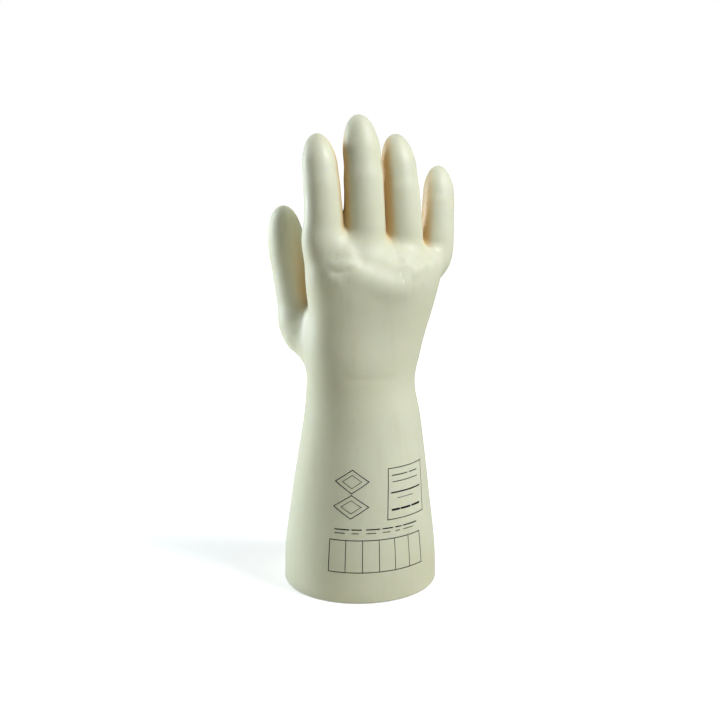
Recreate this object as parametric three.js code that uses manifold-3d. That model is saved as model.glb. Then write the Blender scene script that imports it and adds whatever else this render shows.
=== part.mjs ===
// A right-hand electrical insulating glove of dipped natural rubber, size 10, standing on the open end of its cuff.
// Millimetres, +Z up to the fingertips, the back of the hand towards -Y, the palm towards +Y, the thumb on the -X side.
// The rubber is one thin hollow wall. It is divided where it bends: firm sleeves of the cuff, hand and stalls,
// and between each two of them the ring of rubber that folds, which is a node of its own.
import * as THREE from "three";
import { mergeVertices } from "three/addons/utils/BufferGeometryUtils.js";
import Module from "manifold-3d";

const WALL = 2; // thickness of the rubber
const GAP = 0.3; // between neighbouring pieces
const HALF_HINGE = 2; // from a hinge line to the firm sleeve on each side of it
const HINGE_TO_PALM = 3; // a stall's hinge line lies this far from its middle, towards the side that folds
const GAUNTLET_SIDES = 36;
const STALL_SIDES = 16;
const RUBBER = { color: 0xe3e0c8, roughness: 0.55, metalness: 0 };
const FOLD_RUBBER = { color: 0xd8d2b2, roughness: 0.6, metalness: 0 };

const rad = THREE.MathUtils.degToRad;

// The gauntlet's cross-sections, from the cuff's open end up to the knuckles: each is a rounded oval
// with its height, its middle, its half width (x) and half depth (y), and how square it is (2 is an ellipse).
const OUTLINE = [
  { z: 0, x: 0, y: 0, a: 56.4, b: 55, square: 2 },
  { z: 26, x: 0, y: 0, a: 55.6, b: 54.2, square: 2 },
  { z: 60, x: 0.4, y: 0, a: 51.6, b: 50, square: 2 },
  { z: 92, x: 1.2, y: 0, a: 47.4, b: 45.4, square: 2 },
  { z: 122, x: 1.8, y: 0, a: 43, b: 40.2, square: 2 },
  { z: 148, x: 0.6, y: -0.5, a: 39.8, b: 35.2, square: 2 },
  { z: 173, x: 1.7, y: -4, a: 42, b: 32.5, square: 2.1 },
  { z: 199, x: 4.6, y: -9, a: 44.6, b: 30.5, square: 2.2 },
  { z: 223, x: 5.8, y: -12, a: 48.6, b: 27.5, square: 2.4 },
  { z: 246, x: 9, y: -11, a: 52.6, b: 21, square: 2.5 },
];
const KNUCKLE_TOP = 252.5; // where the hand closes between the finger stalls, at the middle of its width
const KNUCKLE_SLOPE = 0.2; // and how steeply that falls towards the little finger

// The wrist folds about a line across it.
const WRIST = { z: 150, flex: 30, extend: 20 };

// The stalls. root is the middle of the stall level with the forks of the fingers, tip the end of its dome, and bow
// is how far its line stands off the straight at its middle, to the back. Hinges are given by distance from the root.
const FINGER_FLEX = [50, 55, 40];
const FINGER_EXTEND = [15, 8, 6];
const STALLS = {
  index: { root: [-30.2, -10, 259], tip: [-29.2, 9, 323], bow: 3.6, radius: 12.4, hinges: [10.5, 30.5, 47.5] },
  middle: { root: [-1.4, -13, 258], tip: [0.7, 7, 336], bow: 4, radius: 13.1, hinges: [10.5, 35, 56.5] },
  ring: { root: [28.3, -11, 253], tip: [28.5, 8, 322.5], bow: 3.8, radius: 12.5, hinges: [11, 32.5, 51] },
  little: { root: [55.7, -6, 246], tip: [63, 10, 300], bow: 3, radius: 11.3, hinges: [10.5, 27, 40.5] },
};
const STALL_PARTS = ["base", "middle", "tip"];
const DOME = 2.8; // a stall's rounded end is this many times as long as its radius
const FLARE = 0.13; // how much a stall's radius grows from its dome to its root
const ROOT_DEPTH = 22; // how far a stall's root reaches into the hand
const DEPTH = 0.94; // a stall's depth, palm to back, as a share of its width

const THUMB = {
  root: [-34.7, 31, 194],
  tip: [-43.2, 46, 271.5],
  bow: 1.5,
  radius: 13.7,
  hinges: [13, 42],
  flex: [42, 55],
  extend: [20, 10],
};
// The ball of the thumb, stretched over swellings from the palm to the thumb's root: their middles and radii.
const THENAR = [
  { at: [-6, 11, 179], radius: 17.5 },
  { at: [-15, 9, 179], radius: 20 },
  { at: [-25.3, 20, 178.3], radius: 17.8 },
  { at: [-30.3, 26, 183.3], radius: 17 },
  { at: [-33.3, 30.5, 188], radius: 15.6 },
];

const wasm = await Module();
wasm.setup();

function solidOf(geometry) {
  const bare = geometry.clone();
  bare.deleteAttribute("normal");
  bare.deleteAttribute("uv");
  const merged = mergeVertices(bare, 1e-4);
  const vertProperties = merged.attributes.position.array;
  return new wasm.Manifold(new wasm.Mesh({ numProp: 3, vertProperties, triVerts: merged.index.array }));
}

function geometryOf(solid) {
  const { vertProperties, triVerts } = solid.getMesh();
  const geometry = new THREE.BufferGeometry();
  geometry.setAttribute("position", new THREE.BufferAttribute(vertProperties, 3));
  geometry.setIndex(new THREE.BufferAttribute(triVerts, 1));
  return geometry;
}

// Turns a profile of (radius, height) points, and then moves each vertex to where place says
// its radius, height and angle round the axis belong.
function lathed(profile, sides, place) {
  const geometry = new THREE.LatheGeometry(profile, sides);
  const corners = geometry.attributes.position;
  for (let i = 0; i < corners.count; i++) {
    const [x, y, z] = [corners.getX(i), corners.getY(i), corners.getZ(i)];
    const at = place(Math.hypot(x, z), y, Math.atan2(x, z));
    corners.setXYZ(i, at.x, at.y, at.z);
  }
  geometry.computeVertexNormals();
  return geometry;
}

// The profile of a sleeve between two heights: up its outside and down its inside.
function sleeveProfile(from, to, steps, radiusAt) {
  const heights = Array.from({ length: steps + 1 }, (_, i) => from + ((to - from) * i) / steps);
  const outside = heights.map((h) => new THREE.Vector2(radiusAt(h), h));
  const inside = heights.reverse().map((h) => new THREE.Vector2(radiusAt(h) - WALL, h));
  return [...outside, ...inside, outside[0].clone()];
}

// The profile of a closed form between two heights, solid from its foot on the axis to its crown on the axis.
function solidProfile(heights, radiusAt) {
  const wall = heights.map((h) => new THREE.Vector2(Math.max(radiusAt(h), 0), h));
  const foot = new THREE.Vector2(0, heights[0]);
  const last = wall[wall.length - 1];
  return last.x > 0 ? [foot, ...wall, new THREE.Vector2(0, last.y)] : [foot, ...wall];
}

// How far a sleeve's end stands back from its hinge line, for a point that lies offset from the line:
// the two ends slope apart by the angle of the fold, so they close up at its limit and never cross.
function standBack(offset, hinge) {
  const slope = offset > 0 ? Math.tan(rad(hinge.flex / 2)) : Math.tan(rad(hinge.extend / 2));
  return HALF_HINGE + Math.abs(offset) * slope;
}

// ---- the gauntlet: cuff, wrist and hand ----

function ovalAt(z) {
  const last = OUTLINE.length - 1;
  const above = THREE.MathUtils.clamp(OUTLINE.findIndex((o) => o.z >= z), 1, last);
  const [before, low, high, after] = [-2, -1, 0, 1].map(
    (step) => OUTLINE[THREE.MathUtils.clamp(above + step, 0, last)],
  );
  const t = (z - low.z) / (high.z - low.z);
  const smooth = (key) => {
    const slopeLow = (high[key] - before[key]) / (high.z - before.z);
    const slopeHigh = (after[key] - low[key]) / (after.z - low.z);
    const span = high.z - low.z;
    const [t2, t3] = [t * t, t * t * t];
    return (
      low[key] * (2 * t3 - 3 * t2 + 1) +
      slopeLow * span * (t3 - 2 * t2 + t) +
      high[key] * (3 * t2 - 2 * t3) +
      slopeHigh * span * (t3 - t2)
    );
  };
  return Object.fromEntries(["x", "y", "a", "b", "square"].map((key) => [key, smooth(key)]));
}

// A point of the gauntlet: depth is how far inside the outer surface it lies, squash draws the rings in at the crown.
function gauntletPoint(z, angle, depth, squash = 1) {
  const oval = ovalAt(Math.min(z, OUTLINE[OUTLINE.length - 1].z));
  const power = 2 / oval.square;
  const [c, s] = [Math.cos(angle), Math.sin(angle)];
  const across = Math.sign(c) * Math.abs(c) ** power * (oval.a - depth) * squash;
  const through = Math.sign(s) * Math.abs(s) ** power * (oval.b - depth) * squash;
  return new THREE.Vector3(oval.x + across, oval.y + through, z);
}

// A length of gauntlet. from and to give its two ends as functions of y, so that either may slope.
function gauntletSleeve(from, to, steps) {
  const profile = sleeveProfile(0, 1, steps, () => 2 * WALL);
  return lathed(profile, GAUNTLET_SIDES, (radius, share, angle) => {
    const depth = 2 * WALL - radius;
    const level = gauntletPoint(THREE.MathUtils.lerp(from(0), to(0), share), angle, depth);
    const z = THREE.MathUtils.lerp(from(level.y), to(level.y), share);
    return gauntletPoint(z, angle, depth);
  });
}

const belowWrist = (y) => WRIST.z - standBack(y, WRIST);
const aboveWrist = (y) => WRIST.z + standBack(y, WRIST);

function cuff() {
  return gauntletSleeve(() => 0, belowWrist, 8);
}

function wristFold() {
  return gauntletSleeve(
    (y) => belowWrist(y) + GAP,
    (y) => aboveWrist(y) - GAP,
    2,
  );
}

// Lowers a point of the hand on the little finger's side and raises it on the index finger's, by a share of the slope.
function sloped(point, share) {
  const middle = OUTLINE[OUTLINE.length - 1].x;
  point.z -= KNUCKLE_SLOPE * share * (point.x - middle);
  return point;
}

// The hand as a closed form, its surface depth inside the outer one. The crown rounds over between the stalls.
function handForm(depth, footDrop) {
  const crown = [0, 0.35, 0.65, 0.88, 1];
  const shoulder = OUTLINE[OUTLINE.length - 1].z - 8;
  const shares = [0, 0.14, 0.28, 0.44, 0.6, 0.76, 0.9, 1];
  const profile = [new THREE.Vector2(0, 0), ...shares.map((t) => new THREE.Vector2(1, t))];
  crown.slice(1).forEach((t) => profile.push(new THREE.Vector2(Math.sqrt(Math.max(1 - t * t, 0)), 1 + t)));
  const top = KNUCKLE_TOP - depth;
  return lathed(profile, GAUNTLET_SIDES, (radius, share, angle) => {
    if (share > 1) {
      return sloped(gauntletPoint(shoulder + (top - shoulder) * (share - 1), angle, depth, radius), 1);
    }
    const level = gauntletPoint(THREE.MathUtils.lerp(aboveWrist(0), shoulder, share), angle, depth, radius);
    const foot = aboveWrist(level.y) - footDrop;
    const point = gauntletPoint(THREE.MathUtils.lerp(foot, shoulder, share), angle, depth, radius);
    return sloped(point, Math.max(share - 0.5, 0) * 2);
  });
}

// ---- the stalls: fingers and thumb ----

// Each stall has a line down its middle in one flat plane, and the axis that all its hinges are parallel to.
function stallOf(spec, towardsFold, flex, extend) {
  const [root, tip] = [new THREE.Vector3(...spec.root), new THREE.Vector3(...spec.tip)];
  const chord = tip.clone().sub(root);
  const axis = chord.clone().cross(towardsFold).normalize();
  const back = chord.clone().cross(axis).normalize();
  const control = root.clone().add(tip).multiplyScalar(0.5).addScaledVector(back, 2 * spec.bow);
  const line = new THREE.QuadraticBezierCurve3(root, control, tip);
  const length = line.getLength();
  const dome = DOME * spec.radius;
  const radiusAt = (s) => {
    const flared = spec.radius * (1 + FLARE * THREE.MathUtils.clamp(1 - s / (length - dome), 0, 1.6));
    const left = THREE.MathUtils.clamp((length - s) / dome, 0, 1);
    return flared * Math.sqrt(1 - (1 - left) ** 2);
  };
  const frameAt = (s) => {
    const share = THREE.MathUtils.clamp(s / length, 0, 1);
    const along = line.getTangentAt(share);
    const middle = line.getPointAt(share).addScaledVector(along, s - share * length);
    return { middle, along, fold: axis.clone().cross(along).normalize() };
  };
  const hinges = spec.hinges.map((at, i) => {
    const { middle, fold } = frameAt(at);
    return { at, flex: flex[i], extend: extend[i], point: middle.addScaledVector(fold, HINGE_TO_PALM) };
  });
  return { length, radius: spec.radius, axis, radiusAt, frameAt, hinges };
}

function stallPoint(stall, s, radius, angle) {
  const { middle, fold } = stall.frameAt(s);
  return middle
    .addScaledVector(fold, radius * DEPTH * Math.cos(angle))
    .addScaledVector(stall.axis, radius * Math.sin(angle));
}

// The two sides of a hinge: where the sleeve below it ends and the one above it starts, by the offset from its line.
const below = (hinge, trim = 0) => (offset) => hinge.at - standBack(offset - HINGE_TO_PALM, hinge) + trim;
const above = (hinge, trim = 0) => (offset) => hinge.at + standBack(offset - HINGE_TO_PALM, hinge) - trim;

// A profile bent along a stall, its ends sloped as from and to say.
function bentAlong(stall, profile, from, to) {
  const [start, end] = [from(0), to(0)];
  return lathed(profile, STALL_SIDES, (radius, s, angle) => {
    const offset = radius * DEPTH * Math.cos(angle);
    const share = (s - start) / (end - start);
    return stallPoint(stall, THREE.MathUtils.lerp(from(offset), to(offset), share), radius, angle);
  });
}

function stallSleeve(stall, from, to, steps) {
  return bentAlong(stall, sleeveProfile(from(0), to(0), steps, stall.radiusAt), from, to);
}

// A stall's closed end: the profile runs from its crown down the outside and up the inside.
function stallTip(stall, from) {
  const start = from(0);
  const shares = [0, 0.22, 0.42, 0.6, 0.76, 0.88, 0.96, 1];
  const wall = (end, depth) =>
    shares.map((t) => {
      const s = start + (end - start) * t;
      const outer = start + (stall.length - start) * t;
      return new THREE.Vector2(t === 1 ? 0 : Math.max(stall.radiusAt(outer) - depth, 0.5), s);
    });
  const outside = wall(stall.length, 0);
  const inside = wall(stall.length - WALL, WALL).reverse();
  return bentAlong(stall, [...inside, ...outside], from, () => stall.length);
}

// The root of a stall, which belongs to the hand: a closed form that starts narrow inside the hand
// and reaches the first hinge.
function stallRoot(stall, depth, reach) {
  const end = below(stall.hinges[0], reach);
  const starts = { [-ROOT_DEPTH]: 0.45, [-ROOT_DEPTH / 2]: 0.85 };
  const radiusAt = (s) => stall.radiusAt(s) * (starts[s] ?? 1) - depth;
  const profile = solidProfile([-ROOT_DEPTH, -ROOT_DEPTH / 2, 0, end(0)], radiusAt);
  return bentAlong(stall, profile, () => -ROOT_DEPTH, end);
}

function ballForm(depth) {
  const balls = THENAR.map(({ at, radius }) =>
    solidOf(new THREE.IcosahedronGeometry(radius - depth, 2).translate(...at)),
  );
  return wasm.Manifold.hull(balls);
}

const PALMWARDS = new THREE.Vector3(0, 1, 0);
const ACROSS_PALM = new THREE.Vector3(1, 0, 0);
const stalls = Object.fromEntries(
  Object.entries(STALLS).map(([name, spec]) => [name, stallOf(spec, PALMWARDS, FINGER_FLEX, FINGER_EXTEND)]),
);
const thumb = stallOf(THUMB, ACROSS_PALM, THUMB.flex, THUMB.extend);

function hand() {
  const roots = [...Object.values(stalls), thumb];
  const outside = roots.reduce(
    (form, stall) => form.add(solidOf(stallRoot(stall, 0, 0))),
    solidOf(handForm(0, 0)).add(ballForm(0)),
  );
  const hollow = roots.reduce(
    (form, stall) => form.add(solidOf(stallRoot(stall, WALL, HALF_HINGE))),
    solidOf(handForm(WALL, HALF_HINGE)).add(ballForm(WALL)),
  );
  return geometryOf(outside.subtract(hollow));
}

// ---- the assembly ----

const glove = new THREE.Group();

function addPiece(name, geometry, finish) {
  const piece = new THREE.Mesh(geometry, new THREE.MeshStandardMaterial(finish));
  piece.name = name;
  glove.add(piece);
}

// A stall's rings and sleeves, in turn from its root: a fold at each hinge, a sleeve between folds, and the tip.
function addStall(name, stall, parts) {
  stall.hinges.forEach((hinge, i) => {
    const fold = stallSleeve(stall, below(hinge, GAP), above(hinge, GAP), 2);
    addPiece(`${name}_${parts[i]}_fold`, fold, FOLD_RUBBER);
    const next = stall.hinges[i + 1];
    const part = next ? stallSleeve(stall, above(hinge), below(next), 2) : stallTip(stall, above(hinge));
    addPiece(`${name}_${parts[i]}`, part, RUBBER);
  });
}

addPiece("cuff", cuff(), RUBBER);
addPiece("wrist_fold", wristFold(), FOLD_RUBBER);
addPiece("hand", hand(), RUBBER);
Object.entries(stalls).forEach(([name, stall]) => addStall(`${name}_finger`, stall, STALL_PARTS));
addStall("thumb", thumb, ["base", "tip"]);

// Stand the glove on z = 0 with the middle of its box over the origin.
const box = new THREE.Box3().setFromObject(glove, true);
const middle = box.getCenter(new THREE.Vector3());
glove.position.set(-middle.x, -middle.y, -box.min.z);
glove.userData.hinges = Object.entries({ ...stalls, thumb }).map(([name, { axis, hinges }]) => ({
  name,
  axis,
  points: hinges.map((hinge) => hinge.point),
}));

export default glove;
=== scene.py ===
# The looks of one insulating glove of dipped rubber, standing on the open end of its cuff.
# The skin is the surface of one distance field (millimetres, with the cuff's axis as the z axis), cut into a
# mesh and divided into pieces where the rubber bends.
import math

import bpy
import numpy as np
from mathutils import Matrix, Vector


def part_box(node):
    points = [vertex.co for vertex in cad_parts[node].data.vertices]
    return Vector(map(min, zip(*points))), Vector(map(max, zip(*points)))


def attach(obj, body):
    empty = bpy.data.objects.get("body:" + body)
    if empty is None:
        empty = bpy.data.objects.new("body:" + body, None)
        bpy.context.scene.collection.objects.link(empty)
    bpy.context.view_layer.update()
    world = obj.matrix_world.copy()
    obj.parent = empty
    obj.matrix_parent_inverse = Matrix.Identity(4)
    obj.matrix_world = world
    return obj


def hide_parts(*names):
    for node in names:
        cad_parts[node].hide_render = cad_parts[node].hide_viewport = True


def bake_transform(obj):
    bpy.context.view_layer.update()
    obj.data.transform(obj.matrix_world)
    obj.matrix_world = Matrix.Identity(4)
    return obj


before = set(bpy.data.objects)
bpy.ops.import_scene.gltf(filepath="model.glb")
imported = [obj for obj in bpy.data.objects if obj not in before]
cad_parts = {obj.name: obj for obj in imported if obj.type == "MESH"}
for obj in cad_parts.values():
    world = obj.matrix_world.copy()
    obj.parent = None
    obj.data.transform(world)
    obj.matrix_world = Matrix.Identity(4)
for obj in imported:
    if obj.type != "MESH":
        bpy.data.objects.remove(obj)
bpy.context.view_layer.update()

CUFF_LO, CUFF_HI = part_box("cuff")
AXIS = np.array([(CUFF_LO[0] + CUFF_HI[0]) / 2, (CUFF_LO[1] + CUFF_HI[1]) / 2, 0.0])  # of the cuff, in metres
STEP = 1.25  # size of the grid that the skin is cut on
RIM = 1.0  # height of the loop where the skin meets the rim
WALL = 2.0  # thickness of the rubber

# ---------------------------------------------------------------- camera

CAMERA_TURN = math.radians(-20)  # round the cuff's axis, from straight in front of the back of the hand
CAMERA_DISTANCE, CAMERA_HEIGHT = 0.8, 0.3329  # from the cuff's axis and from the floor, in metres
CAMERA_DIP = 11.96  # degrees below level

scene = bpy.context.scene
camera = bpy.data.objects.new("camera", bpy.data.cameras.new("camera"))
scene.collection.objects.link(camera)
scene.camera = camera
camera.data.sensor_width, camera.data.lens = 36.0, 56.75
camera.data.clip_start, camera.data.clip_end = 0.01, 50.0
camera.location = (AXIS[0] + CAMERA_DISTANCE * math.sin(CAMERA_TURN),
                   AXIS[1] - CAMERA_DISTANCE * math.cos(CAMERA_TURN), CAMERA_HEIGHT)
camera.rotation_euler = (math.radians(90 - CAMERA_DIP), 0, CAMERA_TURN)

# ---------------------------------------------------------------- the sizes behind the field

# Cross-sections of cuff, wrist and hand: height, middle (x, y), half width, half depth, squareness.
OUTLINE = np.array([
    (0, 0, 0, 56.4, 55, 2),
    (26, 0, 0, 55.6, 54.2, 2),
    (60, 0.4, 0, 51.6, 50, 2),
    (92, 1.2, 0, 47.4, 45.4, 2),
    (122, 1.8, 0, 43, 40.2, 2),
    (148, 0.6, -0.5, 39.8, 35.2, 2),
    (173, 1.7, -4, 42, 32.5, 2.1),
    (199, 4.6, -9, 44.6, 30.5, 2.2),
    (223, 5.8, -12, 48.6, 27.5, 2.4),
    (246, 9, -11, 52.6, 21, 2.5),
    (264, 11, -9.5, 54.5, 16, 2.5),
])
CUFF_WIDTH, CUFF_DEPTH = OUTLINE[0, 3:5]  # half sizes of the cuff's open end

# The line where the hand ends and the fingers begin: its height, and how it slopes across the hand.
CROWN, SLOPE, CROWN_MIDDLE, CROWN_STEEPNESS, CROWN_ROUND = 251.3, 0.2, 9.0, 0.97, 15.0

# Each stall is a curve from root to tip, and its hinges are distances along that curve.
STALLS = {
    "index": dict(root=(-30.2, -10, 259), tip=(-29.2, 9, 323),
                  bow=3.6, radius=12.4, hinges=(10.5, 30.5, 47.5)),
    "middle": dict(root=(-1.4, -13, 258), tip=(0.7, 7, 336),
                   bow=4, radius=13.1, hinges=(10.5, 35, 56.5)),
    "ring": dict(root=(28.3, -11, 253), tip=(28.5, 8, 322.5),
                 bow=3.8, radius=12.5, hinges=(11, 32.5, 51)),
    "little": dict(root=(55.7, -6, 246), tip=(63, 10, 300),
                   bow=3, radius=11.3, hinges=(10.5, 27, 40.5)),
    "thumb": dict(root=(-34.7, 31, 194), tip=(-43.2, 46, 271.5),
                  bow=1.5, radius=13.7, hinges=(13, 42)),
}
FINGERS = ("index", "middle", "ring", "little")
FINGER_PARTS, THUMB_PARTS = ("base", "middle", "tip"), ("base", "tip")
# Where each stall bends, by distance from its root.
ZONES = {
    "index": [(2.5, 19.5), (21.5, 39.5), (40.5, 54.5)],
    "middle": [(2.5, 19.5), (26, 44), (48, 65)],
    "ring": [(2.5, 20), (23.5, 41.5), (43, 59)],
    "little": [(3, 18.5), (19.5, 34), (35, 47)],
    "thumb": [(4, 23), (32, 52)],
}
# Where each stall's pieces of skin begin, by the same distance.
SEAMS = {
    "index": (1.5, 20.5, 40),
    "middle": (1.5, 22.5, 46),
    "ring": (1.5, 21.5, 42.2),
    "little": (2, 19, 34.5),
    "thumb": (3, 27),
}
DOME, BLUNTNESS = 2.8, 1.35  # a fingertip's length in radii, and how blunt it is
FLARE, FLARE_LIMIT, DEPTH = 0.13, 1.6, 0.94  # how a stall widens to its root, and its depth over its width
ROOT_REACH = 26  # how far a stall runs on below its root, into the hand
JOINT_SWELL, JOINT_SPREAD = 0.35, 6  # how much the skin stands out round the upper joints

# The ball of the thumb: a chain of balls, each a middle and a radius.
THENAR = [
    ((-6, 11, 179), 17.5),
    ((-15, 9, 179), 20),
    ((-25.3, 20, 178.3), 17.8),
    ((-30.3, 26, 183.3), 17),
    ((-33.3, 30.5, 188), 15.6),
]

# How softly the parts of the field run into each other.
FINGER_WEB, HAND_WEB, THENAR_JOIN, THUMB_JOIN, THUMB_WEB = 2.6, 7.0, 5.0, 9.0, 13.0
THUMB_EXTRA = 0.7  # the thumb's skin stands this far outside its line's radius

# Creases (height below 0) and ridges of the skin: a line of points on it, a width and a height.
CREASES = [
    # under the index finger's knuckle
    ([(-35, -28.5, 233), (-30, -31.3, 232), (-25, -33.3, 232.2), (-19.5, -34, 233.8), (-15.5, -34, 236)],
     2.5, -0.95),
    ([(-35, -28, 238.5), (-28, -31, 237.5), (-22, -33, 238.2), (-17, -33, 240)], 2.8, 0.6),
    ([(-37, -29, 225.5), (-30.5, -32.5, 226.2), (-24, -34.4, 226.5)], 3.0, 0.6),
    # the step of the knuckles, right across the back
    ([(-44, -20, 240), (-30, -31, 233), (-19.5, -34, 233), (-11, -37, 229), (0, -38.7, 224.5),
      (9, -39.7, 220.5), (18, -39.5, 220), (30.6, -36.8, 226), (42, -30, 234)], 8.5, 2.3),
    # under the ring and little fingers' knuckles
    ([(43, -29, 238), (36.5, -33.2, 234), (30, -36.3, 230.4), (22, -38.4, 226.4)], 3.6, 0.8),
    ([(47, -24, 246), (38, -30, 241), (30, -34, 238), (22, -36, 236)], 3.0, -0.7),
    # between the knuckles
    ([(-14, -30, 254), (-13, -35, 245), (-8, -38, 236)], 5.0, -0.9),
    ([(13, -29, 251), (14, -34, 243), (18, -37, 234)], 5.0, -1.1),
    ([(43, -22, 246), (42, -28, 240), (38, -34, 233)], 4.5, -0.8),
    # the wrist, on the back and on the little finger's side
    ([(-34, -18, 160), (-18, -32, 157), (4, -36, 156), (26, -30, 159)], 3.2, -0.35),
    ([(40, -8, 157), (41, 4, 156), (38, 16, 158)], 3.5, -1.0),
    ([(38, -20, 165), (42, -4, 164), (40, 12, 166)], 4.0, 0.5),
    # the palm: two creases across it, the edge of the ball of the thumb, and the wrist
    ([(-30, 8, 208), (-18, 17, 214), (2, 19, 222), (26, 16, 230), (42, 12, 236)], 3.0, -1.0),
    ([(-32, 8, 232), (-12, 14, 232), (12, 14, 236), (34, 12, 243)], 3.0, -0.9),
    ([(-6, 30, 168), (4, 26, 184), (4, 22, 202), (-8, 18, 218)], 4.0, -1.1),
    ([(-30, 33, 152), (-8, 35, 152), (16, 34, 152), (34, 22, 153)], 2.6, -0.6),
]
CREASE_FADE = 0.35  # the share of a crease's length over which each of its ends fades
CREASE_REACH = 6  # how near the skin a point has to be for its relief to be worked out
# The hollow of the back above the wrist, from which it leans out to the knuckles: middle, spread and depth.
HOLLOW_MIDDLE, HOLLOW_SPREAD, HOLLOW_DEPTH = (0, -38, 192), (36, 22, 21), 3.2

STALLS_ABOVE = 150  # fingers and thumb are worked out only above this height

# ---------------------------------------------------------------- the field


class Stall:
    """A finger's or the thumb's line, a quadratic Bezier curve, with its hinges' axis."""

    def __init__(self, root, tip, bow, radius, hinges, towards):
        self.p0, self.p2 = np.array(root, float), np.array(tip, float)
        chord = self.p2 - self.p0
        axis = np.cross(chord, towards)
        self.axis = axis / np.linalg.norm(axis)
        back = np.cross(chord, self.axis)
        back /= np.linalg.norm(back)
        self.p1 = (self.p0 + self.p2) / 2 + 2 * bow * back
        self.radius, self.hinges = radius, hinges
        self.t_table = np.linspace(0, 1, 401)
        points = self.at(self.t_table)
        self.s_table = np.concatenate([[0], np.cumsum(np.linalg.norm(np.diff(points, axis=0), axis=1))])
        self.length = self.s_table[-1]
        self.straight = self.length - DOME * radius

    def at(self, t):
        t = np.asarray(t)[..., None]
        return (1 - t) ** 2 * self.p0 + 2 * t * (1 - t) * self.p1 + t * t * self.p2

    def slope(self, t):
        t = np.asarray(t)[..., None]
        return 2 * (1 - t) * (self.p1 - self.p0) + 2 * t * (self.p2 - self.p1)

    def middle(self, s):
        """The point of the line at distance s from its root, straight on past either end."""
        t = np.interp(s, self.s_table, self.t_table)
        along = self.slope(t)
        along = along / np.linalg.norm(along, axis=-1, keepdims=True)
        return self.at(t) + along * (s - np.clip(s, 0, self.length))[..., None]

    def coordinates(self, p):
        """Distance along the line, and the offsets across (along the hinges' axis) and towards the fold."""
        chord = self.p2 - self.p0
        t = (p - self.p0) @ chord / (chord @ chord)
        bend = self.p0 - 2 * self.p1 + self.p2
        t = np.clip(t, 0, 1)
        for _ in range(3):
            off, d1 = self.at(t) - p, self.slope(t)
            f = (off * d1).sum(1)
            df = (d1 * d1).sum(1) + 2 * off @ bend
            t = np.clip(t - f / np.maximum(df, 1.0), 0, 1)
        along = self.slope(t)
        along /= np.linalg.norm(along, axis=1, keepdims=True)
        off = p - self.at(t)
        beyond = (off * along).sum(1)
        s = np.interp(t, self.t_table, self.s_table) + beyond
        off -= along * beyond[:, None]
        return s, off @ self.axis, (off * np.cross(self.axis, along)).sum(1)

    def distance(self, p):
        """About the distance to the stall's surface: a tube with a domed tip, a little fuller at joints."""
        s, across, fold = self.coordinates(p)
        a = self.radius * (1 + FLARE * np.clip(1 - s / self.straight, 0, FLARE_LIMIT))
        b = a * DEPTH
        end = self.radius * DOME
        up, down = np.maximum(s - self.straight, 0), np.minimum(s, 0)
        up = end * (up / end) ** BLUNTNESS
        k0 = np.sqrt((across / a) ** 2 + (fold / b) ** 2 + (up / end) ** 2 + (down / ROOT_REACH) ** 2)
        k1 = np.sqrt((across / a**2) ** 2 + (fold / b**2) ** 2 + (up / end**2) ** 2
                     + (down / ROOT_REACH**2) ** 2)
        swell = sum(JOINT_SWELL * np.exp(-(((s - h) / JOINT_SPREAD) ** 2)) for h in self.hinges[1:])
        return k0 * (k0 - 1) / np.maximum(k1, 1e-6) - swell


stalls = {n: Stall(**v, towards=(1, 0, 0) if n == "thumb" else (0, 1, 0)) for n, v in STALLS.items()}


def oval(z):
    """The cross-section at heights z, smooth between the listed ones."""
    heights = OUTLINE[:, 0]
    z = np.clip(z, heights[0], heights[-1])
    i = np.clip(np.searchsorted(heights, z, side="left"), 1, len(heights) - 1)
    low, high = OUTLINE[i - 1], OUTLINE[i]
    before, after = OUTLINE[np.maximum(i - 2, 0)], OUTLINE[np.minimum(i + 1, len(heights) - 1)]
    span = (high[:, 0] - low[:, 0])[:, None]
    t = ((z - low[:, 0]) / span[:, 0])[:, None]
    m0 = (high - before) / (high[:, 0] - before[:, 0])[:, None]
    m1 = (after - low) / (after[:, 0] - low[:, 0])[:, None]
    r = low * (2 * t**3 - 3 * t**2 + 1) + m0 * span * (t**3 - 2 * t**2 + t) + high * (3 * t**2 - 2 * t**3) \
        + m1 * span * (t**3 - t**2)
    return r[:, 1], r[:, 2], r[:, 3], r[:, 4], r[:, 5]


def smooth_min(a, b, k):
    h = np.maximum(k - np.abs(a - b), 0) / k
    return np.minimum(a, b) - h * h * k / 4


def smooth_max(a, b, k):
    return -smooth_min(-a, -b, k)


def gauntlet(p):
    """Cuff, wrist and hand, closed off along the crown where the fingers begin."""
    x, y, a, b, n = oval(p[:, 2])
    u, v = np.abs(p[:, 0] - x) + 1e-6, np.abs(p[:, 1] - y) + 1e-6
    q = ((u / a) ** n + (v / b) ** n) ** (1 / n)
    steep = np.sqrt((u ** (n - 1) / a**n) ** 2 + (v ** (n - 1) / b**n) ** 2) * q ** (1 - n)
    wall = (q - 1) / np.maximum(steep, 1e-6)
    crown = p[:, 2] - (CROWN - SLOPE * (p[:, 0] - CROWN_MIDDLE))
    return smooth_max(wall, crown * CROWN_STEEPNESS, CROWN_ROUND)


def ball_of_thumb(p):
    best = None
    for (a, ra), (b, rb) in zip(THENAR, THENAR[1:]):
        a, b = np.array(a, float), np.array(b, float)
        t = np.clip((p - a) @ (b - a) / ((b - a) @ (b - a)), 0, 1)
        d = np.linalg.norm(p - a - t[:, None] * (b - a), axis=1) - (ra + t * (rb - ra))
        best = d if best is None else smooth_min(best, d, THENAR_JOIN)
    return best


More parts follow.
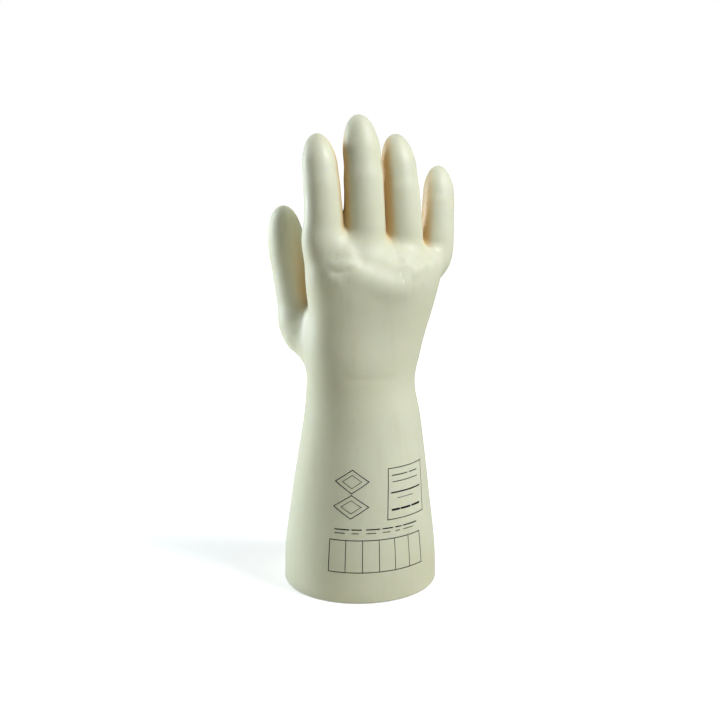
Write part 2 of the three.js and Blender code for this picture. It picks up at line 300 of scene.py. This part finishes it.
def ridge(p, line, width, height):
    """A soft crease (height below 0) or ridge along a line of points, fading at its two ends."""
    line = np.array(line, float)
    total, best, where = 0.0, None, None
    for a, b in zip(line, line[1:]):
        length = np.linalg.norm(b - a)
        t = np.clip((p - a) @ (b - a) / length**2, 0, 1)
        d = np.linalg.norm(p - a - t[:, None] * (b - a), axis=1)
        s = total + t * length
        best, where = (d, s) if best is None else (np.minimum(best, d), np.where(d < best, s, where))
        total += length
    fade = np.clip(np.minimum(where, total - where) / (CREASE_FADE * total), 0, 1)
    fade = fade * fade * (3 - 2 * fade)
    return -height * fade * np.exp(-((best / width) ** 2))


def relief(p):
    """How far the skin lies inside its plain form: creases, the back's hollow, and a dipping's unevenness."""
    extra = np.zeros(len(p))
    for line, width, height in CREASES:
        extra += ridge(p, line, width, height)
    x, y, z = p.T
    (mx, my, mz), (sx, sy, sz) = HOLLOW_MIDDLE, HOLLOW_SPREAD
    extra += HOLLOW_DEPTH * np.exp(-(((x - mx) / sx) ** 2) - ((y - my) / sy) ** 2 - ((z - mz) / sz) ** 2)
    # the rubber is a soft sheet: the cuff is never quite round, and it runs and pools as it is dipped
    turn = np.arctan2(y, x)
    low = np.clip((175 - z) / 60, 0, 1)
    extra += low * (0.28 * np.sin(2 * turn + 0.9 + z / 70) + 0.16 * np.sin(3 * turn - 0.7 - z / 41))
    extra += 0.12 * np.sin(x / 9.5 + 1.3 * np.sin(z / 17)) * np.sin(z / 13.0 + y / 11) * (1 - 0.5 * low)
    return extra


def field(p):
    """Distance from the skin's outer surface, in millimetres, below zero inside."""
    hand = gauntlet(p)
    high = p[:, 2] > STALLS_ABOVE
    if high.any():
        q = p[high]
        fingers = None
        for name in FINGERS:
            d = stalls[name].distance(q)
            fingers = d if fingers is None else smooth_min(fingers, d, FINGER_WEB)
        with_fingers = smooth_min(hand[high], fingers, HAND_WEB)
        thumb = smooth_min(stalls["thumb"].distance(q) - THUMB_EXTRA, ball_of_thumb(q), THUMB_JOIN)
        hand[high] = smooth_min(with_fingers, thumb, THUMB_WEB)
    near = np.abs(hand) < CREASE_REACH
    if near.any():
        hand[near] += relief(p[near])
    return hand


def gradient(p, e=0.35):
    g = np.stack([field(p + np.eye(3)[i] * e) - field(p - np.eye(3)[i] * e) for i in range(3)], axis=1)
    return g / np.maximum(np.linalg.norm(g, axis=1, keepdims=True), 1e-9)


# ---------------------------------------------------------------- the skin as a mesh

LOW, HIGH = np.array([-66.0, -62.0, RIM - STEP / 2]), np.array([82.0, 68.0, 342.0])  # the grid's corners
BLOCK = 6  # grid cells along one cell of the coarse look
BATCH = 300000  # points worked out at a time
# The coarse look keeps a cell whose middle is within half its diagonal and a margin of the surface, and the
# slack allows for the field being only about a distance.
MARGIN, SLACK = 6, 1.35
PULL = 0.95  # the share of its distance that a vertex moves back onto the surface
SPREAD = 0.5  # the share of the way that a vertex moves to the middle of its neighbours


def grid_values(size):
    """The field on the grid, worked out only near the surface, and 1 or -1 wherever that is far off."""
    coarse = np.ceil(size / BLOCK).astype(int) + 1
    centres = np.stack(np.meshgrid(*[LOW[i] + (np.arange(coarse[i]) + 0.5) * STEP * BLOCK for i in range(3)],
                                   indexing="ij"), -1).reshape(-1, 3)
    rough = field(centres).reshape(coarse)
    reach = (STEP * BLOCK * 0.5 * math.sqrt(3) + MARGIN) * SLACK
    block_of = np.ix_(*[np.minimum(np.arange(size[i]) // BLOCK, coarse[i] - 1) for i in range(3)])
    values = np.ones(size, np.float32)
    values[(rough < 0)[block_of]] = -1
    live = np.argwhere((np.abs(rough) < reach)[block_of])
    for start in range(0, len(live), BATCH):
        batch = live[start : start + BATCH]
        values[tuple(batch.T)] = field(LOW + batch * STEP)
    return values


def crossing_points(values, cells):
    """The middle of the points where the surface crosses each cell's edges, in cells from its corner."""
    total, hits = np.zeros((len(cells), 3)), np.zeros(len(cells))
    for a in np.ndindex(2, 2, 2):
        for axis in range(3):
            if a[axis]:
                continue
            one = np.eye(3, dtype=int)[axis]
            va, vb = values[tuple((cells + a).T)], values[tuple((cells + a + one).T)]
            cross = (va < 0) != (vb < 0)
            t = np.where(cross, va / np.where(cross, va - vb, 1), 0)
            total += np.where(cross[:, None], np.array(a, float) + t[:, None] * np.eye(3)[axis], 0)
            hits += cross
    return total / hits[:, None]


def quads_round_edges(inside, number):
    """One quad round each grid edge that the surface crosses, facing out."""
    size = inside.shape
    faces = []
    for axis in range(3):
        u, v = [i for i in range(3) if i != axis]
        first = inside[tuple(slice(0, size[i] - 1) if i == axis else slice(None) for i in range(3))]
        second = inside[tuple(slice(1, size[i]) if i == axis else slice(None) for i in range(3))]
        edge = np.argwhere(first != second)
        at_u, at_v = edge[:, u], edge[:, v]
        edge = edge[(at_u > 0) & (at_v > 0) & (at_u < size[u] - 1) & (at_v < size[v] - 1)]
        quad = []
        for du, dv in ((1, 1), (0, 1), (0, 0), (1, 0)):
            cell = edge.copy()
            cell[:, u] -= du
            cell[:, v] -= dv
            quad.append(number[tuple(cell.T)])
        quad = np.stack(quad, 1)
        out = first[tuple(edge.T)]
        flip = out if axis != 1 else ~out
        quad[~flip] = quad[~flip][:, ::-1]
        faces.append(quad)
    return np.concatenate(faces)


def onto_surface(points, faces, lowest):
    """Moves every vertex onto the surface and evens them out along it; the lowest loop keeps its height."""
    points[lowest, 2] = RIM
    for _ in range(3):
        g = gradient(points)
        g[lowest, 2] = 0
        g[lowest] /= np.linalg.norm(g[lowest], axis=1, keepdims=True)
        points -= field(points)[:, None] * g * PULL
        points[lowest, 2] = RIM
    for _ in range(2):
        mean, weight = np.zeros_like(points), np.zeros(len(points))
        for i in range(4):
            for j in (1, 3):
                np.add.at(mean, faces[:, i], points[faces[:, (i + j) % 4]])
                np.add.at(weight, faces[:, i], 1)
        move = mean / np.maximum(weight, 1)[:, None] - points
        g = gradient(points)
        move -= (move * g).sum(1)[:, None] * g
        move[lowest] = 0
        points += SPREAD * move
        g[lowest, 2] = 0
        points -= field(points)[:, None] * g * PULL
        points[lowest, 2] = RIM


def skin_mesh():
    """Surface nets: the skin's vertices, its quads, and which vertices are in the loop at the foot."""
    size = np.ceil((HIGH - LOW) / STEP).astype(int) + 1
    values = grid_values(size)
    inside = values < 0
    count = sum(inside[tuple(slice(c, c + n - 1) for c, n in zip(corner, size))].astype(np.int8)
                for corner in np.ndindex(2, 2, 2))
    cells = np.argwhere((count > 0) & (count < 8))
    number = -np.ones(size - 1, int)
    number[tuple(cells.T)] = np.arange(len(cells))
    points = LOW + (cells + crossing_points(values, cells)) * STEP
    faces = quads_round_edges(inside, number)
    lowest = cells[:, 2] == 0
    faces = faces[~lowest[faces].all(1)]
    onto_surface(points, faces, lowest)
    used = np.zeros(len(points), bool)
    used[faces.ravel()] = True
    number = np.cumsum(used) - 1
    return points[used], number[faces], lowest[used]


# ---------------------------------------------------------------- the rim and the inside of the cuff

LIP = [(0.12, 0.5), (0.4, 0.16), (0.85, 0), (1.15, 0), (1.6, 0.16), (1.88, 0.5), (2.0, 1.0)]  # depth, height
INNER_HEIGHTS = [5, 12, 22, 34, 48, 62, 76, 90, 104, 116, 126]
INNER_GAP = 0.5  # keeps the inner wall clear of the outer skin's unevenness
THIN_ABOVE, THIN_WALL = 120, 1.2  # the inner wall closes in on the skin where it ends


def foot_edges(points, faces, lowest):
    """The loop of edges that only one face uses, all of them at the foot of the cuff."""
    pairs = np.concatenate([faces[:, [i, (i + 1) % 4]] for i in range(4)])
    key = np.sort(pairs, axis=1)
    key = key[:, 0].astype(np.int64) * (len(points) + 1) + key[:, 1]
    _, first, counts = np.unique(key, return_index=True, return_counts=True)
    edges = pairs[first[counts == 1]]
    return edges[lowest[edges].all(1)]


def lip_rows(ring, inward):
    """Rounds the skin's thickness off under the cuff, from the outer skin to the inner wall."""
    for depth, z in LIP:
        row = ring + inward * depth
        row[:, 2] = z
        n = inward * (depth - WALL / 2)
        n[:, 2] = -(RIM - z)
        yield row, n / np.maximum(np.linalg.norm(n, axis=1, keepdims=True), 1e-9)


def inner_rows(ring):
    angle = np.arctan2(ring[:, 1] / CUFF_DEPTH, ring[:, 0] / CUFF_WIDTH)
    for height in INNER_HEIGHTS:
        z = np.full(len(ring), float(height))
        x, y, a, b, _ = oval(z)
        depth = WALL if height < THIN_ABOVE else THIN_WALL
        row = np.stack([x + (a - depth - INNER_GAP) * np.cos(angle),
                        y + (b - depth - INNER_GAP) * np.sin(angle), z], axis=1)
        n = -np.stack([np.cos(angle) / a, np.sin(angle) / b, np.zeros(len(ring))], axis=1)
        yield row, n / np.linalg.norm(n, axis=1, keepdims=True)


def with_inside(points, normals, faces, lowest):
    """Adds the lip and the inner wall, row by row, to the skin's open foot."""
    edges = foot_edges(points, faces, lowest)
    loop = np.unique(edges)
    rank = -np.ones(len(points), int)
    rank[loop] = np.arange(len(loop))
    inward = -normals[loop] * np.array([1, 1, 0])
    inward /= np.linalg.norm(inward, axis=1, keepdims=True)
    rows = [*lip_rows(points[loop], inward), *inner_rows(points[loop])]
    a, b = rank[edges[:, 0]], rank[edges[:, 1]]
    quads = []
    for level in range(len(rows)):
        here = len(points) + level * len(loop)
        low_a = loop[a] if level == 0 else here - len(loop) + a
        low_b = loop[b] if level == 0 else here - len(loop) + b
        quads.append(np.stack([low_b, low_a, here + a, here + b], axis=1))
    return (np.concatenate([points, *[row for row, _ in rows]]),
            np.concatenate([normals, *[n for _, n in rows]]),
            np.concatenate([faces, *quads]))


# ---------------------------------------------------------------- which face belongs to which piece

SKINS_ABOVE = 185  # height that every stall's skin is above
STALL_REACH = 4.5  # how near a stall's own surface a face has to be to belong to its skin


def parts_of(name):
    return THUMB_PARTS if name == "thumb" else FINGER_PARTS


def piece_names():
    return ["hand_skin"] + [f"{name}_{part}_skin" for name in stalls for part in parts_of(name)]


def owners(centres):
    """For each face, the number of its piece in piece_names(): by the nearest stall, and how far along it."""
    nearest, chosen = np.full(len(centres), 1e9), np.full(len(centres), -1)
    along = np.zeros(len(centres))
    upper = centres[:, 2] > SKINS_ABOVE
    for i, (name, stall) in enumerate(stalls.items()):
        d, s = np.full(len(centres), 1e9), np.zeros(len(centres))
        d[upper] = stall.distance(centres[upper])
        s[upper] = stall.coordinates(centres[upper])[0]
        better = (d < nearest) & (s > SEAMS[name][0])
        nearest[better], chosen[better], along[better] = d[better], i, s[better]
    chosen[nearest > STALL_REACH] = -1
    owner, piece = np.zeros(len(centres), int), 0  # 0 is the skin of cuff and hand
    for i, name in enumerate(stalls):
        for low, high in zip(SEAMS[name], [*SEAMS[name][1:], 1e9]):
            piece += 1
            owner[(chosen == i) & (along > low) & (along <= high)] = piece
    return owner


SHADE_ABOVE = 170  # height that the painted shade of the closed-in places is above
SHADE_REACHES = (4.0, 8.0, 13.0, 19.0, 26.0)  # how far out of the skin to look for more rubber
SHADE_CLEAR = 0.92  # the share of each reach that counts as clear


def painted_shade_closed_in(points, normals):
    """How closed in each vertex is, 0 to 1: painted shade, amber like bounced light, between the fingers and
    by the thumb.
    """
    crevice_shade = np.zeros(len(points))
    lit = points[:, 2] > SHADE_ABOVE
    for reach in SHADE_REACHES:
        clear = field(points[lit] + normals[lit] * reach) / (reach * SHADE_CLEAR)
        crevice_shade[lit] += np.clip(1 - clear, 0, 1) / len(SHADE_REACHES)
    return crevice_shade


# ---------------------------------------------------------------- materials


def nodes_of(name):
    material = bpy.data.materials.new(name)
    material.use_nodes = True
    tree = material.node_tree
    return material, tree, tree.nodes["Principled BSDF"]


def noise(tree, vector, scale, detail=4.0, rough=0.55):
    node = tree.nodes.new("ShaderNodeTexNoise")
    node.inputs["Scale"].default_value = scale
    node.inputs["Detail"].default_value = detail
    node.inputs["Roughness"].default_value = rough
    tree.links.new(vector, node.inputs["Vector"])
    return node.outputs["Fac"]


def stretch(tree, vector, scale):
    node = tree.nodes.new("ShaderNodeMapping")
    node.inputs["Scale"].default_value = scale
    tree.links.new(vector, node.inputs["Vector"])
    return node.outputs["Vector"]


def ramp(tree, value, low, high, to_low=0.0, to_high=1.0):
    node = tree.nodes.new("ShaderNodeMapRange")
    node.interpolation_type = "SMOOTHSTEP"
    for key, v in (("From Min", low), ("From Max", high), ("To Min", to_low), ("To Max", to_high)):
        node.inputs[key].default_value = v
    tree.links.new(value, node.inputs["Value"])
    return node.outputs["Result"]


def mixed(tree, factor, a, b):
    """Colour a turning to colour b; each of the three may be a value or another node's output."""
    node = tree.nodes.new("ShaderNodeMix")
    node.data_type = "RGBA"
    for key, v in ((0, factor), (6, a), (7, b)):
        if isinstance(v, bpy.types.NodeSocket):
            tree.links.new(v, node.inputs[key])
        elif key:
            node.inputs[key].default_value = (*v, 1)
        else:
            node.inputs[key].default_value = v
    return node.outputs[2]


def maths(tree, kind, a, b):
    node = tree.nodes.new("ShaderNodeMath")
    node.operation = kind
    for i, v in enumerate((a, b)):
        if isinstance(v, bpy.types.NodeSocket):
            tree.links.new(v, node.inputs[i])
        else:
            node.inputs[i].default_value = v
    return node.outputs[0]


def bumped(tree, shader, height, strength, distance):
    bump = tree.nodes.new("ShaderNodeBump")
    bump.inputs["Strength"].default_value = strength
    bump.inputs["Distance"].default_value = distance
    tree.links.new(height, bump.inputs["Height"])
    tree.links.new(bump.outputs["Normal"], shader.inputs["Normal"])


CREAM, CREAM_DEEP, CREAM_PALE = (0.775, 0.785, 0.62), (0.725, 0.73, 0.54), (0.80, 0.785, 0.66)
# the last colour is painted shade, amber like light bounced between the fingers, for where the skin is closed
# in
RUN_COLOUR, SPECK_COLOUR, AMBER_SHADE = (0.67, 0.645, 0.47), (0.56, 0.51, 0.36), (0.66, 0.47, 0.22)
INK_DARK, INK_WORN, INK_PATCH = (0.19, 0.215, 0.28), (0.46, 0.47, 0.45), (0.22, 0.23, 0.26)


def latex():
    """Dipped rubber: cloudy, faintly mottled, with runs down it, fine specks, and painted amber shade where
    closed in.
    """
    material, tree, shader = nodes_of("latex")
    where = tree.nodes.new("ShaderNodeTexCoord").outputs["Object"]
    shade = tree.nodes.new("ShaderNodeAttribute")
    shade.attribute_name = "crevice_shade"
    clouds = noise(tree, where, 14, 3)
    mottle = noise(tree, where, 55, 5, 0.6)
    runs = noise(tree, stretch(tree, where, (60, 60, 5)), 1.6, 4, 0.6)
    specks = noise(tree, where, 420, 2, 0.5)
    colour = mixed(tree, ramp(tree, clouds, 0.35, 0.68), CREAM, CREAM_DEEP)
    colour = mixed(tree, ramp(tree, mottle, 0.45, 0.72, 0, 0.45), colour, CREAM_PALE)
    colour = mixed(tree, ramp(tree, runs, 0.5, 0.8, 0, 0.4), colour, RUN_COLOUR)
    colour = mixed(tree, ramp(tree, specks, 0.66, 0.76, 0, 0.22), colour, SPECK_COLOUR)
    # painted shade, amber like bounced light, where the skin is closed in between the fingers and by the
    # thumb
    colour = mixed(tree, ramp(tree, shade.outputs["Fac"], 0.06, 0.9, 0, 0.85), colour, AMBER_SHADE)
    tree.links.new(colour, shader.inputs["Base Color"])
    smear = noise(tree, stretch(tree, where, (1, 1, 0.4)), 38, 5, 0.65)
    tree.links.new(ramp(tree, smear, 0.3, 0.72, 0.40, 0.58), shader.inputs["Roughness"])
    grain = noise(tree, where, 900, 3, 0.6)
    dimples = noise(tree, where, 150, 3, 0.5)
    height = maths(tree, "ADD", maths(tree, "MULTIPLY", grain, 0.12), maths(tree, "MULTIPLY", dimples, 0.5))
    height = maths(tree, "ADD", height, maths(tree, "MULTIPLY", runs, 0.7))
    bumped(tree, shader, height, 0.35, 0.0004)
    shader.inputs["Subsurface Weight"].default_value = 0.22
    shader.inputs["Subsurface Radius"].default_value = (1.0, 0.72, 0.35)
    shader.inputs["Subsurface Scale"].default_value = 0.0035
    shader.inputs["IOR"].default_value = 1.48
    shader.inputs["Specular IOR Level"].default_value = 0.5
    shader.inputs["Sheen Weight"].default_value = 0.06
    shader.inputs["Sheen Roughness"].default_value = 0.5
    return material


def ink():
    """Printed ink, worn thin in places so that it shows the rubber's colour."""
    material, tree, shader = nodes_of("ink")
    where = tree.nodes.new("ShaderNodeTexCoord").outputs["Object"]
    worn = noise(tree, where, 700, 3, 0.6)
    patch = noise(tree, where, 90, 2)
    colour = mixed(tree, ramp(tree, worn, 0.5, 0.75, 0, 0.55), INK_DARK, INK_WORN)
    colour = mixed(tree, ramp(tree, patch, 0.5, 0.8, 0, 0.4), colour, INK_PATCH)
    tree.links.new(colour, shader.inputs["Base Color"])
    tree.links.new(ramp(tree, worn, 0.3, 0.7, 0.42, 0.62), shader.inputs["Roughness"])
    bumped(tree, shader, worn, 0.2, 0.0001)
    return material


LATEX, INK = latex(), ink()

# ---------------------------------------------------------------- the pieces of skin


def in_metres(p):
    return np.asarray(p) / 1000 + AXIS


def add_mesh(name, vertices, quads, vertex_normals, material, shade=None):
    mesh = bpy.data.meshes.new(name)
    mesh.vertices.add(len(vertices))
    mesh.vertices.foreach_set("co", in_metres(vertices).astype(np.float32).ravel())
    mesh.loops.add(quads.size)
    mesh.loops.foreach_set("vertex_index", quads.astype(np.int32).ravel())
    mesh.polygons.add(len(quads))
    mesh.polygons.foreach_set("loop_start", np.arange(len(quads), dtype=np.int32) * 4)
    mesh.polygons.foreach_set("use_smooth", np.ones(len(quads), bool))
    mesh.update(calc_edges=True)
    mesh.validate()
    mesh.normals_split_custom_set_from_vertices([tuple(v) for v in vertex_normals])
    if shade is not None:
        mesh.attributes.new("crevice_shade", "FLOAT", "POINT").data.foreach_set("value", shade.astype(np.float32))
    mesh.materials.append(material)
    piece = bpy.data.objects.new(name, mesh)
    scene.collection.objects.link(piece)
    return piece


points, faces, lowest = skin_mesh()
points, normals, faces = with_inside(points, gradient(points), faces, lowest)
owner = owners(points[faces].mean(1))
# how closed in the skin is: it sets the painted amber shade between the fingers and by the thumb
crevice_shade = painted_shade_closed_in(points, normals)


WRIST_BEND = (134, 166)  # the heights between which the glove bends at the wrist, from cuff to hand


def skin_piece(name):
    """One piece of the skin, cut out of the whole along its seams."""
    own = faces[owner == piece_names().index(name)]
    kept, quads = np.unique(own, return_inverse=True)
    return add_mesh(name, points[kept], quads.reshape(own.shape), normals[kept], LATEX, crevice_shade[kept])


def bend(piece, lower, upper, start, end):
    start, end = [tuple(float(v) for v in in_metres(p)) for p in (start, end)]
    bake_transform(piece)
    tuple(start)
    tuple(end)


skin = skin_piece("hand_skin")
bend(skin, "cuff", "hand", (0, 0, WRIST_BEND[0]), (0, 0, WRIST_BEND[1]))
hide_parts("cuff", "wrist_fold", "hand")

for stall_name, stall in stalls.items():
    cad = "thumb" if stall_name == "thumb" else f"{stall_name}_finger"
    lower = "hand"
    for part, zone in zip(parts_of(stall_name), ZONES[stall_name]):
        body = f"{cad}_{part}"
        piece = skin_piece(f"{stall_name}_{part}_skin")
        start, end = [stall.middle(np.array([float(s)]))[0] for s in zone]
        bend(piece, lower, body, start, end)
        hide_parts(f"{body}_fold", body)
        lower = body

# ---------------------------------------------------------------- the printed marks on the cuff's back

# Each stroke is a thin strip of ink on the skin. A place on the cuff is (turn, height): turn in degrees from
# straight out of the back of the hand, positive towards the little finger; height in millimetres.
PROUD, EDGE = 0.06, 0.01  # how far a stroke's middle and its edges stand off the skin
MARK_STEP, DEGREE = 1.2, 0.9  # length of a stroke's steps, and of about one degree round the cuff

FRAME_INK, CELL_INK = 0.6, 0.5  # width of the ink round the table and the label, and between the cells

# The empty table of six cells: its sides, its foot and its head.
TABLE_LEFT, TABLE_RIGHT, TABLE_LOW, TABLE_HIGH, TABLE_CELLS = -43.8, 33.0, 22.8, 45.6, 6
# The plain double row of strokes over it: where each one starts, and how long the upper one is.
ROW = [(-40, 11), (-26.5, 7), (-15, 10), (-2, 8), (9, 5), (16.5, 14)]
ROW_LINES = [(53.2, 1, 0.85), (50.6, 0.7, 0.55)]  # height, share of the length and the ink's width
# Two plain lozenges, one over the other, each with a smaller one in it: half sizes and the ink's width.
LOZENGE_TURN, LOZENGE_HEIGHTS = -28, (86.5, 69.0)
LOZENGES = [(14.5, 8.2, 0.6), (8.2, 4.6, 0.4)]
# A plain label frame, and plain lines in it: start, height, length and the ink's width.
LABEL_FRAME = [(2.2, 59), (41, 59), (45.5, 94.5), (4.2, 94.5)]
LABEL_LINES = [
    (8, 89.5, 16, 0.7), (27, 89.5, 10, 0.7), (8, 85, 29, 0.55), (6.5, 77.5, 33, 1.0), (12, 73.3, 17, 0.4),
    (7, 65.5, 6, 1.4), (15.5, 65.5, 9, 1.4), (27.5, 65.5, 9, 1.4),
]


def on_cuff(turn, z):
    turn, z = np.radians(np.asarray(turn, float)), np.asarray(z, float)
    x, y, a, b, _ = oval(z)
    direction = np.stack([np.sin(turn), -np.cos(turn), np.zeros_like(turn)], axis=1)
    reach = 1 / np.sqrt((direction[:, 0] / a) ** 2 + (direction[:, 1] / b) ** 2)
    p = np.stack([x, y, z], axis=1) + direction * reach[:, None]
    for _ in range(3):
        g = gradient(p) * np.array([1, 1, 0])
        p -= field(p)[:, None] * g
    return p


class Marks:
    """Strokes of ink, gathered into one mesh."""

    def __init__(self):
        self.vertices, self.faces, self.normals = [], [], []

    def stroke(self, path, width, closed=False):
        path = list(path) + ([path[0]] if closed else [])
        for (t0, z0), (t1, z1) in zip(path, path[1:]):
            steps = max(2, int(math.hypot((t1 - t0) * DEGREE, z1 - z0) / MARK_STEP) + 1)
            f = np.linspace(0, 1, steps)
            self.strip(on_cuff(t0 + (t1 - t0) * f, z0 + (z1 - z0) * f), width)

    def strip(self, p, width):
        g = gradient(p)
        tangent = np.gradient(p, axis=0)
        tangent /= np.linalg.norm(tangent, axis=1, keepdims=True)
        side = np.cross(g, tangent)
        p[0] -= tangent[0] * width / 2
        p[-1] += tangent[-1] * width / 2
        start = len(self.vertices)
        for i in range(len(p)):
            for k, lift in ((-1, EDGE), (-0.7, PROUD), (0.7, PROUD), (1, EDGE)):
                q = p[i] + side[i] * width / 2 * k
                self.vertices.append(q + g[i] * (lift - float(field(q[None])[0])))
                self.normals.append(g[i])
        for i in range(len(p) - 1):
            for k in range(3):
                a = start + i * 4 + k
                self.faces.append((a, a + 1, a + 5, a + 4))


def table(marks):
    foot = [(TABLE_LEFT, TABLE_LOW), (TABLE_RIGHT, TABLE_LOW)]
    head = [(TABLE_RIGHT, TABLE_HIGH), (TABLE_LEFT, TABLE_HIGH)]
    marks.stroke(foot + head, FRAME_INK, closed=True)
    for cell in range(1, TABLE_CELLS):
        turn = TABLE_LEFT + (TABLE_RIGHT - TABLE_LEFT) * cell / TABLE_CELLS
        marks.stroke([(turn, TABLE_LOW), (turn, TABLE_HIGH)], CELL_INK)


def row(marks):
    for turn, length in ROW:
        for z, share, width in ROW_LINES:
            marks.stroke([(turn, z), (turn + length * share, z)], width)


def lozenges(marks):
    turn = LOZENGE_TURN
    for z in LOZENGE_HEIGHTS:
        for wide, tall, width in LOZENGES:
            corners = [(turn, z + tall), (turn + wide, z), (turn, z - tall), (turn - wide, z)]
            marks.stroke(corners, width, closed=True)


def label(marks):
    marks.stroke(LABEL_FRAME, FRAME_INK, closed=True)
    for turn, z, length, width in LABEL_LINES:
        marks.stroke([(turn, z), (turn + length, z)], width)


marks = Marks()
for draw in (table, row, lozenges, label):
    draw(marks)
drawn = [np.array(part) for part in (marks.vertices, marks.faces, marks.normals)]
marks_piece = add_mesh("cuff_marks", *drawn, INK)
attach(marks_piece, "cuff")

# ---------------------------------------------------------------- floor and light

FLOOR_LEVEL, FLOOR_HALF = -0.0004, 12
SEEN, UNSEEN = (0.9, 0.9, 0.9), (0.74, 0.72, 0.62)  # the floor's colour to the camera, and to the glove


def floor_paper():
    """White paper that shows bright to the camera, brightest far off, and lights the glove more softly."""
    material, tree, shader = nodes_of("floor_paper")
    shader.inputs["Roughness"].default_value = 0.9
    shader.inputs["Emission Color"].default_value = (1, 1, 1, 1)
    distance = tree.nodes.new("ShaderNodeVectorMath")
    distance.operation = "LENGTH"
    tree.links.new(tree.nodes.new("ShaderNodeTexCoord").outputs["Object"], distance.inputs[0])
    glow = ramp(tree, distance.outputs["Value"], 0.1, 0.9, 0.4, 1.0)
    direct = tree.nodes.new("ShaderNodeLightPath").outputs["Is Camera Ray"]
    tree.links.new(maths(tree, "MULTIPLY", glow, direct), shader.inputs["Emission Strength"])
    tree.links.new(mixed(tree, direct, UNSEEN, SEEN), shader.inputs["Base Color"])
    return material


def floor():
    mesh = bpy.data.meshes.new("floor")
    corners = [(x * FLOOR_HALF, y * FLOOR_HALF, FLOOR_LEVEL) for x, y in ((-1, -1), (1, -1), (1, 1), (-1, 1))]
    mesh.from_pydata(corners, [], [(0, 1, 2, 3)])
    mesh.materials.append(floor_paper())
    sheet = bpy.data.objects.new("floor", mesh)
    scene.collection.objects.link(sheet)


def studio():
    """A faint warm light from all round, with white behind the glove for the camera alone."""
    world = bpy.data.worlds.new("studio")
    scene.world = world
    world.use_nodes = True
    tree = world.node_tree
    ambient = tree.nodes["Background"]
    ambient.inputs["Color"].default_value = (1, 0.97, 0.86, 1)
    ambient.inputs["Strength"].default_value = 0.08
    paper = tree.nodes.new("ShaderNodeBackground")
    paper.inputs["Color"].default_value = (1, 1, 1, 1)
    paper.inputs["Strength"].default_value = 1.0
    both = tree.nodes.new("ShaderNodeMixShader")
    tree.links.new(tree.nodes.new("ShaderNodeLightPath").outputs["Is Camera Ray"], both.inputs[0])
    tree.links.new(ambient.outputs[0], both.inputs[1])
    tree.links.new(paper.outputs[0], both.inputs[2])
    tree.links.new(both.outputs[0], tree.nodes["World Output"].inputs["Surface"])


def soft_light(name, at, height, size, power, colour):
    """A panel of light at a place, turned to the cuff's axis at a height."""
    data = bpy.data.lights.new(name, "AREA")
    data.shape = "RECTANGLE"
    data.size, data.size_y = size
    data.energy, data.color = power, colour
    lamp = bpy.data.objects.new(name, data)
    lamp.location = Vector(at)
    aim = Vector((AXIS[0], AXIS[1], height))
    lamp.rotation_euler = (aim - Vector(at)).to_track_quat("-Z", "Y").to_euler()
    scene.collection.objects.link(lamp)


floor()
studio()
soft_light("key", (0.70, -0.68, 1.34), 0.17, (0.5, 0.6), 22.0, (0.955, 0.985, 1.0))
soft_light("rim", (-0.66, 0.60, 0.42), 0.2, (0.26, 0.6), 8.5, (0.86, 0.94, 1.0))
scene.view_settings.view_transform = "Standard"
scene.view_settings.look = "None"
scene.view_settings.exposure = 0.0
